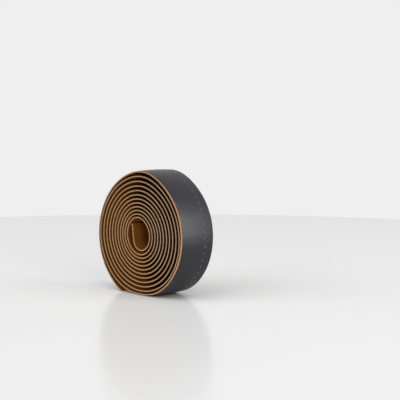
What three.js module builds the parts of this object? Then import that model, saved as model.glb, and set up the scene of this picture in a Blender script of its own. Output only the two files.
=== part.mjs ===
// A roll of handlebar tape: one padded strip wound on itself, stood on its rim.
// Millimetres, +Z up. The roll's axis runs along Y and the origin is on the floor, under its middle.
// Seen from the -Y side, with +X to the right, the strip runs anticlockwise from the core outwards.
import * as THREE from 'three';

// The strip as it is made: a smooth outer face, thin edges, and a pad between them on the inside
const TAPE_WIDTH = 30;
const EDGE_THICKNESS = 1;
const PAD_THICKNESS = 2.4;
const EDGE_BAND = 3; // thin, unpadded band along each edge
const PAD_TAPER = 6; // width of the slope from the band up to the pad

// Even winding: radii are those of the strip's outer face, angles are in degrees
const WHOLE_TURNS = 12;
const START_ANGLE = 195; // where the straight inner end passes into the first turn
const CORE_RADIUS = 11;
const WINDING_GAP = 0.36; // left between one turn's pad and the turn below it
const LOOSENING = 0.033; // growth of the pitch, in mm per turn squared
const OVAL_PER_TURN = 0.175; // each turn is that much wider and lower than a round one
const LEAN = 0.475; // tilt of the core's oval
const DROOP_PER_TURN = 0.044; // the outer turns hang that much lower on the inner ones

// The core's straight inner end, and the bulge where the next turns pass round it
const DENT = 2.6;
const DENT_ANGLE = 186;
const DENT_SPREAD = 43;
const BULGE = 1.25;
const BULGE_ANGLE = 185;
const BULGE_SHARPNESS = 2.5;
const BULGE_FADE = 2.8; // turns over which it dies away outwards

// The outer turns lie looser: lifted on top, swollen at the back and drawn in just above that.
// Each height is the last turn's, and each fade the number of turns over which it dies away inwards.
const TOP_LIFT = 2.3;
const TOP_LIFT_ANGLE = 82;
const TOP_LIFT_SPREAD = 26;
const TOP_LIFT_FADE = 3.1;
const SWELL = 1.3;
const SWELL_ANGLE = 204;
const SWELL_SPREAD = 48;
const SWELL_FADE = 1.7;
const WAIST = 1;
const WAIST_ANGLE = 153;
const WAIST_SPREAD = 29.5;
const WAIST_FADE = 7.9;

// The last turn is pulled towards the one below at its side and back, and its end is free
const SIDE_PULL = 0.843; // share of the spare room that is taken up
const SIDE_PULL_ANGLE = -22;
const SIDE_PULL_SPREAD = 53;
const BACK_PULL = 0.887;
const BACK_PULL_ANGLE = 165;
const BACK_PULL_SPREAD = 60;
const TAIL_ANGLE = 218.5; // where the end starts to spring away from the roll
const TAIL_SPRING = 6.05; // mm per radian squared

// Its own weight flattens the roll where it stands
const FLAT_DEPTH = 0.3;

// Fineness: the largest distance between a true curve and its facets
const FACET_SAG = 0.09;

const TURN = 2 * Math.PI;
const PITCH = PAD_THICKNESS + WINDING_GAP;
const START = THREE.MathUtils.degToRad(START_ANGLE);
const LAST_TURN = WHOLE_TURNS * TURN;
const TAIL = LAST_TURN + THREE.MathUtils.degToRad(TAIL_ANGLE);

// A smooth bump of height 1, where distance and spread are in degrees
function bell(distance, spread) {
  return Math.exp(-((distance / spread) ** 2));
}

// Degrees from a direction to an angle in radians, the short way round
function degreesFrom(angle, direction) {
  const turned = THREE.MathUtils.radToDeg(angle) - direction;
  return THREE.MathUtils.euclideanModulo(turned + 180, 360) - 180;
}

// Degrees from a direction on the last turn to an angle in radians, turns counted
function degreesOnLastTurn(angle, direction) {
  return THREE.MathUtils.radToDeg(angle - LAST_TURN) - direction;
}

// The smallest value between two limits at which a test holds, once it holds from there on
function firstWhere(test, low, high) {
  for (let step = 0; step < 40; step += 1) {
    const middle = (low + high) / 2;
    if (test(middle)) high = middle;
    else low = middle;
  }
  return high;
}

// How far the turns bulge round the inner end: most on the turn next to it, and nothing opposite it
function bulgeAt(angle) {
  const past = THREE.MathUtils.radToDeg(angle) - BULGE_ANGLE;
  if (past < 180) return 0;
  const side = Math.cos(THREE.MathUtils.degToRad(degreesFrom(angle, BULGE_ANGLE)) / 2);
  return BULGE * Math.exp((1 - past / 360) / BULGE_FADE) * side ** BULGE_SHARPNESS;
}

// A bump of height 1 on the last turn, at one direction, that dies away on the turns below
function outerBump(angle, direction, spread, fade) {
  const turns = degreesOnLastTurn(angle, direction) / 360;
  return bell(degreesFrom(angle, direction), spread) * Math.exp(turns / fade);
}

// Radius of the outer face where nothing pulls at the last turn
function evenRadius(angle) {
  const turns = (angle - START) / TURN;
  const round = CORE_RADIUS + PITCH * turns + LOOSENING * turns ** 2;
  const oval = OVAL_PER_TURN * turns * Math.cos(2 * angle) - LEAN * Math.sin(2 * angle);
  const droop = DROOP_PER_TURN * turns * Math.sin(angle);
  const dent = DENT * bell(THREE.MathUtils.radToDeg(angle) - DENT_ANGLE, DENT_SPREAD);
  const lift = TOP_LIFT * outerBump(angle, TOP_LIFT_ANGLE, TOP_LIFT_SPREAD, TOP_LIFT_FADE);
  const swell = SWELL * outerBump(angle, SWELL_ANGLE, SWELL_SPREAD, SWELL_FADE);
  const waist = WAIST * outerBump(angle, WAIST_ANGLE, WAIST_SPREAD, WAIST_FADE);
  return round + oval - droop - dent + bulgeAt(angle) + lift + swell - waist;
}

// The same with the last turn as it really lies
function looseRadius(angle) {
  const even = evenRadius(angle);
  const spare = even - evenRadius(angle - TURN) - EDGE_THICKNESS - WINDING_GAP;
  const sidePull = SIDE_PULL * bell(degreesOnLastTurn(angle, SIDE_PULL_ANGLE), SIDE_PULL_SPREAD);
  const backPull = BACK_PULL * bell(degreesOnLastTurn(angle, BACK_PULL_ANGLE), BACK_PULL_SPREAD);
  const spring = TAIL_SPRING * Math.max(0, angle - TAIL) ** 2;
  return even - spare * (sidePull + backPull) + spring;
}

// Depth below the winding's centre of the outer face at an angle
function depthAt(angle) {
  return -looseRadius(angle) * Math.sin(angle);
}

// The angle at which the roll reaches lowest, on the turn that the tail leaves uncovered
function lowestAngle() {
  let lowest = TAIL - TURN;
  for (let angle = lowest; angle < TAIL; angle += TURN / 720) {
    if (depthAt(angle) > depthAt(lowest)) lowest = angle;
  }
  return lowest;
}

// The floor touches the roll there, and the weight presses a flat spot that ends on both sides of it.
// The strip's outer end reaches down to the same floor.
const LOWEST = lowestAngle();
const FLOOR_DEPTH = depthAt(LOWEST) - FLAT_DEPTH;
const FLAT_START = firstWhere((angle) => depthAt(angle) >= FLOOR_DEPTH, LOWEST - TURN / 8, LOWEST);
const FLAT_END = firstWhere((angle) => depthAt(angle) <= FLOOR_DEPTH, LOWEST, LOWEST + TURN / 8);
const END = firstWhere((angle) => depthAt(angle) >= FLOOR_DEPTH, TAIL, LAST_TURN + 0.75 * TURN);

// Radius of the outer face, flat where it stands on the floor
function faceRadius(angle) {
  const loose = looseRadius(angle);
  const down = -Math.sin(angle);
  return loose * down > FLOOR_DEPTH ? FLOOR_DEPTH / down : loose;
}

// Pad thickness, squeezed where the strip is pulled tight
function padThickness(angle) {
  if (angle < START + TURN) return PAD_THICKNESS;
  const room = faceRadius(angle) - faceRadius(angle - TURN) - WINDING_GAP;
  return Math.min(PAD_THICKNESS, room);
}

// A point of the outer face in the roll's plane, from the winding's centre
function windingPoint(angle) {
  return new THREE.Vector2(Math.cos(angle), Math.sin(angle)).multiplyScalar(faceRadius(angle));
}

function windingDirection(angle) {
  const step = 1e-4;
  const ahead = windingPoint(angle + step);
  return ahead.sub(windingPoint(angle - step)).normalize();
}

// One place along the strip: its outer face, the way to its inner face, and its pad
function station(point, direction, pad) {
  const inward = new THREE.Vector2(-direction.y, direction.x);
  return { point, inward, pad };
}

// The inner end lies straight, and is cut where its tip would touch the turn round it
function flapStations() {
  const foot = windingPoint(START);
  const direction = windingDirection(START);
  const along = (length) => foot.clone().addScaledVector(direction, -length);
  const touches = (length) => {
    const tip = along(length);
    const turned = THREE.MathUtils.degToRad(degreesFrom(Math.atan2(tip.y, tip.x), START_ANGLE));
    return tip.length() + WINDING_GAP >= faceRadius(START + TURN + turned) - PAD_THICKNESS;
  };
  const tipLength = firstWhere(touches, 0, 2 * CORE_RADIUS);
  return [tipLength, tipLength / 2].map((length) => station(along(length), direction, PAD_THICKNESS));
}

// Steps get shorter towards the core, so that every facet has the same sag
function turnStations() {
  const angles = [FLAT_START, LOWEST, FLAT_END, END];
  for (let angle = START; angle < END; angle += Math.sqrt((8 * FACET_SAG) / faceRadius(angle))) {
    angles.push(angle);
  }
  angles.sort((a, b) => a - b);
  return angles.map((angle) => station(windingPoint(angle), windingDirection(angle), padThickness(angle)));
}

// The strip's cross-section as [place across the width, depth below the outer face]
function stripSection(pad) {
  const edge = TAPE_WIDTH / 2;
  const band = edge - EDGE_BAND;
  const top = band - PAD_TAPER;
  return [
    [-edge, 0],
    [edge, 0],
    [edge, EDGE_THICKNESS],
    [band, EDGE_THICKNESS],
    [top, pad],
    [-top, pad],
    [-band, EDGE_THICKNESS],
    [-edge, EDGE_THICKNESS],
  ];
}

// Joins the sections of all stations into one closed skin
function sweptStrip(stations) {
  const positions = [];
  for (const { point, inward, pad } of stations) {
    for (const [across, depth] of stripSection(pad)) {
      positions.push(point.x + inward.x * depth, across, point.y + inward.y * depth);
    }
  }
  const size = stripSection(PAD_THICKNESS).length;
  const indices = [];
  for (let row = 0; row + 1 < stations.length; row += 1) {
    for (let side = 0; side < size; side += 1) {
      const here = row * size + side;
      const beside = row * size + ((side + 1) % size);
      indices.push(here, beside, beside + size, here, beside + size, here + size);
    }
  }
  const lastRow = (stations.length - 1) * size;
  const outline = stripSection(PAD_THICKNESS).map(([across, depth]) => new THREE.Vector2(across, depth));
  for (const [a, b, c] of THREE.ShapeUtils.triangulateShape(outline, [])) {
    indices.push(c, b, a, lastRow + a, lastRow + b, lastRow + c);
  }
  const geometry = new THREE.BufferGeometry();
  geometry.setAttribute('position', new THREE.Float32BufferAttribute(positions, 3));
  geometry.setIndex(indices);
  geometry.computeVertexNormals();
  return geometry;
}

const geometry = sweptStrip([...flapStations(), ...turnStations()]);
geometry.computeBoundingBox();
const middle = geometry.boundingBox.getCenter(new THREE.Vector3());

const tapeFace = new THREE.MeshStandardMaterial({ color: 0x48484b, roughness: 0.6, metalness: 0 });
const tape = new THREE.Mesh(geometry, tapeFace);
tape.name = 'handlebar_tape';
tape.position.set(-middle.x, 0, FLOOR_DEPTH);

const group = new THREE.Group();
group.add(tape);

export default group;
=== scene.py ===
import math
from collections import namedtuple

import bpy
import numpy as np
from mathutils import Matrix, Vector


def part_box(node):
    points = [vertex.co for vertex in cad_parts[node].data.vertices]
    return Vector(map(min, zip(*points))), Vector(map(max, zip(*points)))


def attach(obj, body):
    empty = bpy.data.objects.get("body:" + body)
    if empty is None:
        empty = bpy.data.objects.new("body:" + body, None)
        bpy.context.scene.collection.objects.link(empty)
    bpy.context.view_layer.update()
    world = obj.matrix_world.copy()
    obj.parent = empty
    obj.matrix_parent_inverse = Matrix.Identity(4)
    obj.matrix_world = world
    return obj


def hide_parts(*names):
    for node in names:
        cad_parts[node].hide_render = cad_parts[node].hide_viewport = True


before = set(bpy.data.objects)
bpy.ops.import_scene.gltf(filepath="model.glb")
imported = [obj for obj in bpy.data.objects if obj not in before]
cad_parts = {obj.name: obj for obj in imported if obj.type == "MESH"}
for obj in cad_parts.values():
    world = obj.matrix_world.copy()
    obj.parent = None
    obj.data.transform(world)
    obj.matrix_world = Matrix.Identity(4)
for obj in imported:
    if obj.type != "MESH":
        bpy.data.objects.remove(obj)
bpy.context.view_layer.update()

MM = 0.001
TURN = 2 * math.pi
TAPE_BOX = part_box("handlebar_tape")

# The camera, at the photograph's viewing angle
CAMERA_PLACE = (0.680712, -0.558076, 0.142701)
CAMERA_TILT = math.radians(85.21)
CAMERA_TURN = math.radians(48.46)
LENS_MM = 108
SENSOR_MM = 36

# The strip as it is made: a skin over a foam body, thin at its edges and padded between them
TAPE_WIDTH = TAPE_BOX[1].y - TAPE_BOX[0].y
EDGE_THICKNESS = 1 * MM
PAD_THICKNESS = 2.4 * MM
EDGE_BAND = 3 * MM
PAD_TAPER = 6 * MM
SKIN_CORNER = 0.5 * MM  # radius at which the skin turns over the edge
SKIN_CUT = math.radians(42)  # how far round that corner the skin reaches
FOAM_CORNER = 0.15 * MM

# One row of pinholes near the edge that faces +Y
HOLE_FROM_EDGE = 7.2 * MM
HOLE_PITCH = 5.25 * MM
HOLE_CELL = 3 * MM  # the square of skin that is set out anew round each hole
HOLE_CLEARANCE = 0.7 * HOLE_CELL  # rows of vertices that are nearer to a hole are left out
HOLE_SIDES = 20
HOLE_RINGS = [  # (radius, height above the skin), down to the bottom
    (1.15 * MM, 0),
    (1.02 * MM, 0.01 * MM),
    (0.88 * MM, 0.03 * MM),
    (0.74 * MM, -0.03 * MM),
    (0.62 * MM, -0.16 * MM),
    (0.5 * MM, -0.36 * MM),
    (0.42 * MM, -0.52 * MM),
    (0.36 * MM, -0.75 * MM),
]

# Even winding: radii are those of the strip's outer face, angles with a name of their own in degrees
WHOLE_TURNS = 12
START = math.radians(195)
CORE_RADIUS = 11 * MM
WINDING_GAP = 0.36 * MM
LOOSENING = 0.033 * MM
OVAL_PER_TURN = 0.175 * MM
LEAN = 0.475 * MM
DROOP_PER_TURN = 0.044 * MM

# The core's straight inner end, and the bulge where the next turns pass round it
DENT, DENT_ANGLE, DENT_SPREAD = 2.6 * MM, 186, 43
BULGE, BULGE_ANGLE, BULGE_SHARPNESS, BULGE_FADE = 1.25 * MM, 185, 2.5, 2.8

# The outer turns lie looser: (height on the last turn, direction, spread, turns over which it dies away)
TOP_LIFT = (2.3 * MM, 82, 26, 3.1)
SWELL = (1.3 * MM, 204, 48, 1.7)
WAIST = (-1 * MM, 153, 29.5, 7.9)

# The last turn is pulled in at its side and back, and its end is free
SIDE_PULL, SIDE_PULL_ANGLE, SIDE_PULL_SPREAD = 0.843, -22, 53
BACK_PULL, BACK_PULL_ANGLE, BACK_PULL_SPREAD = 0.887, 165, 60
TAIL_ANGLE, TAIL_SPRING = 218.5, 6.05 * MM

# The soft pad swells until it all but touches the turn below, from the third turn on
PAD_SWELL = 0.9 * MM
PAD_GAP = 0.12 * MM

# Nothing presses on the last turn, so the middle of its face bows outwards
BOW = 0.5 * MM
BOW_ONSET = 60 * MM  # length of strip over which it sets in

# The pull on the last turn draws its face in along the near edge, so the cut edge turns outwards
EDGE_DRAW, EDGE_DRAW_ANGLE, EDGE_DRAW_SPREAD = 0.75 * MM, 5, 75
DRAWN_BAND = 3 * MM  # width along that edge

# The padded middle carries the roll, and keeps the strip's thin edges a little off the floor
EDGE_LIFT = 0.5 * MM
LIFTED_BAND = 8 * MM  # width along each edge
LIFTED_BELOW = 3 * MM  # height of the outer face at which the lift begins

# How far the strip strays sideways as it is wound: (distance, length of strip to a radian, start)
WANDER = [(0.07 * MM, 29 * MM, 0), (0.05 * MM, 11 * MM, 1.3)]

# Share of its brightness at which the pale wall lights the scene
WALL_LIGHT = 0.1

# Fineness of the mesh
FACET_SAG = 0.02 * MM
ANGLE_STEP = 0.002

PITCH = PAD_THICKNESS + WINDING_GAP
LAST_TURN = WHOLE_TURNS * TURN
TAIL = LAST_TURN + math.radians(TAIL_ANGLE)
LAST_ROUND = TURN * TAPE_BOX[1].z / 2  # about the length of strip in the roll's outermost turn

# The strip's finishes, in the order of its materials
# The fourth finish is the paler skin on one side of each pinhole: a painted highlight
FACE, EDGE, BACK, PAINTED_GLINT_LIP = range(4)

# What holds at each point of the strip's line: its place, its direction, and how the strip is there
Path = namedtuple("Path", "length x z along_x along_z pad pull step")


def bell(distance, spread):
    return np.exp(-((distance / spread) ** 2))


def short_way(degrees):
    return (degrees + 180) % 360 - 180


def bulge_at(angle):
    """How far the turns bulge round the inner end: most on the turn next to it, nothing opposite it."""
    past = np.degrees(angle) - BULGE_ANGLE
    side = np.abs(np.cos(np.radians(past) / 2)) ** BULGE_SHARPNESS
    return np.where(past < 180, 0, BULGE * np.exp((1 - past / 360) / BULGE_FADE) * side)


def outer_bump(angle, height, direction, spread, fade):
    """A bump of the last turn at one direction, that dies away on the turns below."""
    past = np.degrees(angle - LAST_TURN) - direction
    return height * bell(short_way(past), spread) * np.exp(past / 360 / fade)


def even_radius(angle):
    """Radius of the outer face where nothing pulls at the last turn."""
    turns = (angle - START) / TURN
    round_part = CORE_RADIUS + PITCH * turns + LOOSENING * turns**2
    oval = OVAL_PER_TURN * turns * np.cos(2 * angle) - LEAN * np.sin(2 * angle)
    droop = DROOP_PER_TURN * turns * np.sin(angle)
    dent = DENT * bell(np.degrees(angle) - DENT_ANGLE, DENT_SPREAD)
    bumps = sum(outer_bump(angle, *bump) for bump in (TOP_LIFT, SWELL, WAIST))
    return round_part + oval - droop - dent + bulge_at(angle) + bumps


def loose_radius(angle):
    """The same with the last turn as it really lies."""
    even = even_radius(angle)
    degrees = np.degrees(angle - LAST_TURN)
    spare = even - even_radius(angle - TURN) - EDGE_THICKNESS - WINDING_GAP
    side_pull = SIDE_PULL * bell(degrees - SIDE_PULL_ANGLE, SIDE_PULL_SPREAD)
    back_pull = BACK_PULL * bell(degrees - BACK_PULL_ANGLE, BACK_PULL_SPREAD)
    spring = TAIL_SPRING * np.maximum(0, angle - TAIL) ** 2
    return even - spare * (side_pull + back_pull) + spring


# The top of the last turn reaches the top of the frame's box, which gives the height of the centre
ALL_ANGLES = np.arange(START, LAST_TURN + 0.75 * TURN, ANGLE_STEP)
CENTRE_HEIGHT = TAPE_BOX[1].z - np.max(loose_radius(ALL_ANGLES) * np.sin(ALL_ANGLES))


def face_radius(angle):
    """Radius of the outer face, flat where it stands on the floor."""
    loose = loose_radius(angle)
    down = np.maximum(-np.sin(angle), 1e-6)
    return np.minimum(loose, CENTRE_HEIGHT / down)


def pad_thickness(angle):
    """Thickness of the pad, squeezed where the strip is pulled tight and swollen where it lies loose."""
    free = PAD_THICKNESS + PAD_SWELL * np.clip((angle - START) / TURN - 2, 0, 1)
    room = face_radius(angle) - face_radius(angle - TURN) - PAD_GAP
    return np.where(angle < START + TURN, PAD_THICKNESS, np.minimum(free, room))


def flap_length(foot, along):
    """How long the straight inner end is before its tip touches the turn round it."""
    lengths = np.arange(0, 2 * CORE_RADIUS, 0.01 * MM)
    tips = foot - along * lengths[:, None]
    turned = short_way(np.degrees(np.arctan2(tips[:, 1], tips[:, 0]) - START))
    angles = START + TURN + np.radians(turned)
    room = face_radius(angles) - PAD_THICKNESS - np.linalg.norm(tips, axis=1)
    return lengths[np.argmax(room < WINDING_GAP)]


def winding_path():
    """The line of the outer face along the strip, from the tip of its inner end to its outer end."""
    past_tail = ALL_ANGLES > TAIL
    on_floor = -loose_radius(ALL_ANGLES) * np.sin(ALL_ANGLES) >= CENTRE_HEIGHT
    angles = ALL_ANGLES[: np.argmax(past_tail & on_floor) + 1]
    radius = face_radius(angles)
    points = np.stack([np.cos(angles), np.sin(angles)], axis=1) * radius[:, None]
    along = np.gradient(points, axis=0)
    along /= np.linalg.norm(along, axis=1)[:, None]
    steps = np.linalg.norm(np.diff(points, axis=0), axis=1)
    length = np.concatenate([[0], np.cumsum(steps)])
    flap = flap_length(points[0], along[0])
    points = np.vstack([points[0] - along[0] * flap, points])
    along = np.vstack([along[0], along])
    middle = (points[:, 0].min() + points[:, 0].max()) / 2
    pull = bell(np.degrees(angles - LAST_TURN) - EDGE_DRAW_ANGLE, EDGE_DRAW_SPREAD)
    return Path(
        length=np.concatenate([[-flap], length]),
        x=points[:, 0] - middle + (TAPE_BOX[0].x + TAPE_BOX[1].x) / 2,
        z=points[:, 1] + CENTRE_HEIGHT,
        along_x=along[:, 0],
        along_z=along[:, 1],
        pad=np.concatenate([[PAD_THICKNESS], pad_thickness(angles)]),
        pull=np.concatenate([[0], pull]),
        step=np.sqrt(8 * FACET_SAG * np.concatenate([[radius[0]], radius])),
    )


def hole_lengths(path):
    """Places along the strip of the pinholes that its outermost turn shows."""
    end = path.length[-1]
    return np.arange(end - HOLE_PITCH / 2, end - LAST_ROUND, -HOLE_PITCH)[::-1]


def row_lengths(path, holes):
    """Places along the strip of the rows of vertices, with one row on each side of every hole."""
    rows = [path.length[0]]
    while rows[-1] < path.length[-1]:
        rows.append(rows[-1] + np.interp(rows[-1], path.length, path.step))
    rows = np.array(rows[:-1])
    sides = np.concatenate([holes - HOLE_CELL / 2, holes + HOLE_CELL / 2])
    clear = np.abs(rows[:, None] - holes).min(axis=1) > HOLE_CLEARANCE
    return np.sort(np.concatenate([rows[clear], sides, path.length[-1:]]))


def column_places():
    """Places across the strip of the columns of vertices, with one on each side of the holes."""
    band = TAPE_WIDTH / 2 - EDGE_BAND
    slope = [band - PAD_TAPER * share for share in (0, 0.25, 0.5, 0.75, 1)]
    next_to_middle = 2 * MM
    half = [TAPE_WIDTH / 2 - SKIN_CORNER, *slope, next_to_middle]
    hole = TAPE_WIDTH / 2 - HOLE_FROM_EDGE
    outside = [place for place in half if abs(place - hole) > HOLE_CELL / 2]
    sides = [hole - HOLE_CELL / 2, hole + HOLE_CELL / 2]
    return sorted([-place for place in half] + outside + sides)


def edge_profile():
    """The strip's edge from skin to back, as (inset from the edge, depth)."""
    turned = [SKIN_CUT / 3, 2 * SKIN_CUT / 3, SKIN_CUT, TURN / 4]
    skin = [(1 - math.sin(angle), 1 - math.cos(angle)) for angle in turned]
    foam = [(1 - math.cos(angle), 1 - math.sin(angle)) for angle in (0, TURN / 8, TURN / 4)]
    return [(SKIN_CORNER * inset, SKIN_CORNER * depth) for inset, depth in skin] + [
        (FOAM_CORNER * inset, EDGE_THICKNESS - FOAM_CORNER * depth) for inset, depth in foam
    ]


def strip_section(pad):
    """The closed cross-section as an array of (across, depth), for each pad thickness in an array."""
    columns = column_places()
    half = TAPE_WIDTH / 2
    edge = edge_profile()
    across = [*columns, *[half - inset for inset, _ in edge]]
    across += [*columns[::-1], *[inset - half for inset, _ in edge[::-1]]]
    depth = [0.0] * len(columns) + [deep for _, deep in edge]
    depth += [EDGE_THICKNESS] * len(columns) + [deep for _, deep in edge[::-1]]
    across = np.array(across)
    depth = np.tile(np.array(depth), (len(pad), 1))
    back = slice(len(columns) + len(edge), 2 * len(columns) + len(edge))
    rise = np.clip((half - EDGE_BAND - np.abs(across[back])) / PAD_TAPER, 0, 1)
    depth[:, back] += (pad[:, None] - EDGE_THICKNESS) * rise**2 * (3 - 2 * rise)
    return across, depth


def segment_finish(across, depth):
    """Which finish each side of the cross-section shows."""
    for_rounding = 1.001
    skin_depth = SKIN_CORNER * (1 - math.cos(SKIN_CUT)) * for_rounding
    finishes = []
    for here in range(len(across)):
        ends = [here, (here + 1) % len(across)]
        if max(depth[ends]) <= skin_depth:
            finishes.append(FACE)
        elif min(abs(across[ends])) >= TAPE_WIDTH / 2 - SKIN_CORNER:
            finishes.append(EDGE)
        else:
            finishes.append(BACK)
    return finishes


def punch_hole(vertices, faces, finishes, corners, length):
    """Sets out one pinhole in the square between four corners, in the strip's flat coordinates."""
    across = TAPE_WIDTH / 2 - HOLE_FROM_EDGE
    rings = []
    for radius, height in HOLE_RINGS:
        rings.append(range(len(vertices), len(vertices) + HOLE_SIDES))
        for side in range(HOLE_SIDES):
            angle = TURN * side / HOLE_SIDES - TURN / 4
            vertices.append((length - radius * math.cos(angle), across + radius * math.sin(angle), -height))
    made = []
    quarter = HOLE_SIDES // 4
    for corner in range(4):
        first = corner * quarter
        for side in range(first, first + quarter):
            made.append((corners[corner], rings[0][(side + 1) % HOLE_SIDES], rings[0][side]))
        made.append((corners[corner], corners[(corner + 1) % 4], rings[0][(first + quarter) % HOLE_SIDES]))
    made.append(tuple(rings[-1]))
    faces += made
    finishes += [FACE] * len(made)
    for outer, inner in zip(rings, rings[1:]):
        for side in range(HOLE_SIDES):
            after = (side + 1) % HOLE_SIDES
            faces.append((outer[side], outer[after], inner[after], inner[side]))
            # The near side of each hole's lip gets the paler skin: a painted highlight for the glint there
            near_side = math.sin(TURN * (side + 0.5) / HOLE_SIDES - TURN / 4) < 0
            painted_glint_lip = near_side and outer in rings[1:4]
            finishes.append(PAINTED_GLINT_LIP if painted_glint_lip else FACE)


def add_cut_ends(faces, finishes, side_finish, last):
    """Closes both ends of the strip, each with a line of skin over the cut foam."""
    size = len(side_finish)
    foam = [side for side in range(size) if side_finish[side] != FACE]
    foam_ring = [*foam, (foam[-1] + 1) % size]
    skin_ring = [(foam_ring[-1] + step) % size for step in range(size - len(foam) + 1)]
    for ring, finish in ((skin_ring, FACE), (foam_ring, EDGE)):
        faces.append(tuple(reversed(ring)))
        faces.append(tuple(last + point for point in ring))
        finishes += [finish, finish]


def flat_strip(path):
    """The strip laid out flat: vertices as (along, across, depth), faces, and each face's finish."""
    holes = hole_lengths(path)
    rows = row_lengths(path, holes)
    across, depth = strip_section(np.interp(rows, path.length, path.pad))
    size = len(across)
    vertices = [(row, a, d) for row, line in zip(rows, depth) for a, d in zip(across, line)]
    side_finish = segment_finish(across, depth[0])
    hole_column = int(np.argmax(across > TAPE_WIDTH / 2 - HOLE_FROM_EDGE)) - 1
    hole_rows = {int(np.argmax(rows > hole)) - 1: hole for hole in holes}
    faces, finishes = [], []
    for row in range(len(rows) - 1):
        for side in range(size):
            here = row * size + side
            beside = row * size + (side + 1) % size
            quad = (here, beside, beside + size, here + size)
            if side == hole_column and row in hole_rows:
                punch_hole(vertices, faces, finishes, quad, hole_rows[row])
            else:
                faces.append(quad)
                finishes.append(side_finish[side])
    add_cut_ends(faces, finishes, side_finish, (len(rows) - 1) * size)
    return np.array(vertices), faces, finishes


def wander(length):
    """How far the strip strays sideways, so that its turns don't lie dead level."""
    return sum(distance * np.sin(length / swing + start) for distance, swing, start in WANDER)


def bow(length, across, path):
    """How far the strip bows outwards at a place along and across it."""
    start = path.length[-1] - LAST_ROUND
    onset = np.clip((length - start) / BOW_ONSET, 0, 1)
    return BOW * onset**2 * (3 - 2 * onset) * (1 - (2 * across / TAPE_WIDTH) ** 2)


def edge_lift(height, across):
    """How far the strip's edges are held off the floor, by the height of its outer face there."""
    near_floor = np.clip(1 - height / LIFTED_BELOW, 0, 1)
    near_edge = np.clip(1 - (TAPE_WIDTH / 2 - np.abs(across)) / LIFTED_BAND, 0, 1)
    return EDGE_LIFT * near_floor * near_edge**2


def edge_draw(length, across, depth, path):
    """How far the near edge is drawn in: most at the strip's outer face, nothing at its back."""
    near_edge = np.clip(1 - (TAPE_WIDTH / 2 + across) / DRAWN_BAND, 0, 1)
    near_face = np.clip(1 - depth / EDGE_THICKNESS, 0, 1)
    return EDGE_DRAW * np.interp(length, path.length, path.pull) * near_edge * near_face


def wound(flat, path):
    """Winds flat coordinates along the path, with what bows down past the floor pressed flat."""
    length, across, depth = flat.T
    across = across + edge_draw(length, across, depth, path)
    depth = depth - bow(length, across, path)
    x, z, along_x, along_z = [
        np.interp(length, path.length, values) for values in (path.x, path.z, path.along_x, path.along_z)
    ]
    height = np.maximum(z + along_x * depth, 0) + edge_lift(z, across)
    return np.stack([x - along_z * depth, across + wander(length), height], axis=1)


def linear(hex_colour):
    """The linear colour that an sRGB hex value stands for."""
    channels = [int(hex_colour[place : place + 2], 16) / 255 for place in (1, 3, 5)]
    return [c / 12.92 if c <= 0.04045 else ((c + 0.055) / 1.055) ** 2.4 for c in channels] + [1]


def add_node(tree, kind, sockets, **settings):
    """Adds a node, sets its settings, and gives each named socket a value or a link."""
    made = tree.nodes.new(kind)
    for name, value in settings.items():
        setattr(made, name, value)
    for name, value in sockets.items():
        if isinstance(value, bpy.types.NodeSocket):
            tree.links.new(value, made.inputs[name])
        else:
            made.inputs[name].default_value = value
    return made


def new_material(name):
    material = bpy.data.materials.new(name)
    material.use_nodes = True
    tree = material.node_tree
    tree.nodes.clear()
    place = add_node(tree, "ShaderNodeTexCoord", {}).outputs["Object"]
    return material, tree, place


def polyurethane(name, dark, light):
    """Polyurethane leather, cast on release paper: matt, with a fine even grain that softens its gloss."""
    material, tree, place = new_material(name)
    clouds = add_node(tree, "ShaderNodeTexNoise", {"Vector": place, "Scale": 1 / (9 * MM), "Detail": 3})
    colour = add_node(
        tree,
        "ShaderNodeMix",
        {"Factor": clouds.outputs["Fac"], "A": linear(dark), "B": linear(light)},
        data_type="RGBA",
    )
    # The real grain is about 0.15 mm wide. It is drawn at 0.4 mm, so that it shows.
    grain = add_node(tree, "ShaderNodeTexNoise", {"Vector": place, "Scale": 1 / (0.4 * MM), "Detail": 2})
    gloss = add_node(
        tree,
        "ShaderNodeMapRange",
        {"Value": grain.outputs["Fac"], "To Min": 0.36, "To Max": 0.42},
    )
    bump = add_node(
        tree,
        "ShaderNodeBump",
        {"Height": grain.outputs["Fac"], "Distance": 0.03 * MM, "Strength": 0.5},
    )
    shader = add_node(
        tree,
        "ShaderNodeBsdfPrincipled",
        {
            "Base Color": colour.outputs["Result"],
            "Roughness": gloss.outputs["Result"],
            "IOR": 1.5,
            "Specular IOR Level": 0.36,
            "Normal": bump.outputs["Normal"],
        },
    )
    add_node(tree, "ShaderNodeOutputMaterial", {"Surface": shader.outputs["BSDF"]})
    return material


def cell_foam(name, dark, light, cell):
    """EVA foam: dull and open to the touch, with small cells that break up its colour."""
    material, tree, place = new_material(name)
    cells = add_node(tree, "ShaderNodeTexNoise", {"Vector": place, "Scale": 1 / cell, "Detail": 3})
    colour = add_node(
        tree,
        "ShaderNodeMix",
        {"Factor": cells.outputs["Fac"], "A": linear(dark), "B": linear(light)},
        data_type="RGBA",
    )
    bump = add_node(
        tree,
        "ShaderNodeBump",
        {"Height": cells.outputs["Fac"], "Distance": 0.05 * MM, "Strength": 0.6},
    )
    shader = add_node(
        tree,
        "ShaderNodeBsdfPrincipled",
        {
            "Base Color": colour.outputs["Result"],
            "Roughness": 0.9,
            "IOR": 1.48,
            "Specular IOR Level": 0.15,
            "Normal": bump.outputs["Normal"],
        },
    )
    add_node(tree, "ShaderNodeOutputMaterial", {"Surface": shader.outputs["BSDF"]})
    return material


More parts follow.
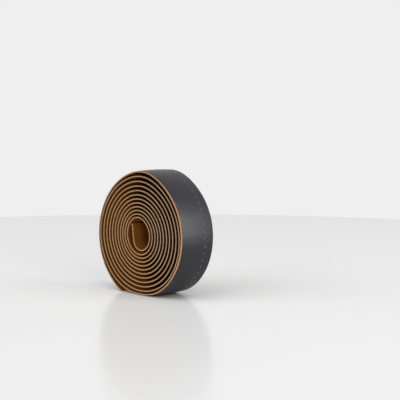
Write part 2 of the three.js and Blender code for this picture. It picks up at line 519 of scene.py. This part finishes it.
def opal_acrylic():
    """Opal acrylic: a clean pale white, with a faint blurred reflection of what stands on it."""
    material, tree, place = new_material("opal_acrylic")
    peel = add_node(tree, "ShaderNodeTexNoise", {"Vector": place, "Scale": 1 / (40 * MM), "Detail": 1})
    gloss = add_node(
        tree,
        "ShaderNodeMapRange",
        {"Value": peel.outputs["Fac"], "To Min": 0.16, "To Max": 0.20},
    )
    shader = add_node(
        tree,
        "ShaderNodeBsdfPrincipled",
        {
            "Base Color": linear("#e0e0e0"),
            "Roughness": gloss.outputs["Result"],
            "IOR": 1.49,
            "Specular IOR Level": 0.05,
        },
    )
    add_node(tree, "ShaderNodeOutputMaterial", {"Surface": shader.outputs["BSDF"]})
    return material


def mesh_object(name, vertices, faces):
    mesh = bpy.data.meshes.new(name)
    mesh.from_pydata(vertices, [], faces)
    made = bpy.data.objects.new(name, mesh)
    bpy.context.scene.collection.objects.link(made)
    return made


def wound_tape():
    """The roll's one piece: the strip with its pinholes, wound up."""
    path = winding_path()
    flat, faces, finishes = flat_strip(path)
    tape = mesh_object("wound_tape", wound(flat, path).tolist(), faces)
    tape.data.materials.append(polyurethane("polyurethane_skin", "#17171e", "#1c1c24"))
    tape.data.materials.append(cell_foam("cut_foam_edge", "#a47c53", "#bc946d", 0.5 * MM))
    tape.data.materials.append(cell_foam("foam_back", "#6a3e0e", "#7e4c14", 0.6 * MM))
    # A paler skin on the near side of each pinhole's lip: a painted highlight that stands in for the glint
    # the light gives on that side
    tape.data.materials.append(polyurethane("painted_glint_skin", "#66666e", "#787880"))
    tape.data.polygons.foreach_set("material_index", finishes)
    tape.data.shade_smooth()
    tape.data.set_sharp_from_angle(angle=math.radians(40))
    return tape


def studio_floor():
    """A round table top. Its far rim is the faint line behind the roll."""
    radius, sides = 0.61, 180
    angles = [TURN * side / sides for side in range(sides)]
    rim = [(radius * math.cos(angle), radius * math.sin(angle), 0) for angle in angles]
    floor = mesh_object("studio_floor", rim, [tuple(range(sides))])
    floor.data.materials.append(opal_acrylic())
    return floor


def softbox(name, place, size, power):
    """A soft lamp that faces the middle of the roll."""
    lamp = bpy.data.lights.new(name, "AREA")
    lamp.shape = "RECTANGLE"
    lamp.size, lamp.size_y = size
    lamp.energy = power
    made = bpy.data.objects.new(name, lamp)
    made.location = place
    towards = Vector((0, 0, TAPE_BOX[1].z / 2)) - Vector(place)
    made.rotation_euler = towards.to_track_quat("-Z", "Y").to_euler()
    made.visible_camera = False
    bpy.context.scene.collection.objects.link(made)
    return made


def light_only(lamp, piece):
    """Keeps a lamp's light on one piece, as flags round the lamp do."""
    lit = bpy.data.collections.new(lamp.name + "_lights")
    lit.objects.link(piece)
    lamp.light_linking.receiver_collection = lit


def studio_world():
    """The pale wall that the camera and reflections see. It gives only a little light of its own."""
    world = bpy.data.worlds.new("studio")
    bpy.context.scene.world = world
    world.use_nodes = True
    tree = world.node_tree
    tree.nodes.clear()
    rays = add_node(tree, "ShaderNodeLightPath", {}).outputs
    seen = add_node(
        tree,
        "ShaderNodeMath",
        {0: rays["Is Camera Ray"], 1: rays["Is Glossy Ray"]},
        operation="MAXIMUM",
    )
    seen = add_node(
        tree,
        "ShaderNodeMath",
        {0: seen.outputs[0], 1: rays["Is Transmission Ray"]},
        operation="MAXIMUM",
    )
    strength = add_node(tree, "ShaderNodeMath", {0: seen.outputs[0], 1: WALL_LIGHT}, operation="MAXIMUM")
    wall = add_node(
        tree, "ShaderNodeBackground", {"Color": linear("#efefef"), "Strength": strength.outputs[0]}
    )
    add_node(tree, "ShaderNodeOutputWorld", {"Surface": wall.outputs[0]})


def camera():
    lens = bpy.data.cameras.new("camera")
    lens.lens = LENS_MM
    lens.sensor_width = SENSOR_MM
    made = bpy.data.objects.new("camera", lens)
    made.location = CAMERA_PLACE
    made.rotation_euler = (CAMERA_TILT, 0, CAMERA_TURN)
    bpy.context.scene.collection.objects.link(made)
    bpy.context.scene.camera = made


bpy.context.scene.view_settings.view_transform = "Standard"
camera()

tape = wound_tape()
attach(tape, "root")
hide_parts("handlebar_tape")

floor = studio_floor()
studio_world()
softbox("front_softbox", place=(-0.8, -4.05, 2.1), size=(5.7, 2.7), power=124)
softbox("right_softbox", place=(3.93, -1.44, 1.65), size=(2.1, 2.1), power=83)
softbox("high_softbox", place=(1, 0.5, 0.9), size=(0.8, 0.8), power=5)
side = softbox("side_softbox", place=(0.344, 0.172, 0.1), size=(0.13, 0.3), power=0.78)
light_only(side, tape)
ceiling = softbox("ceiling_softbox", place=(0.2, -1.3, 4.4), size=(5.6, 5.6), power=172)
light_only(ceiling, floor)
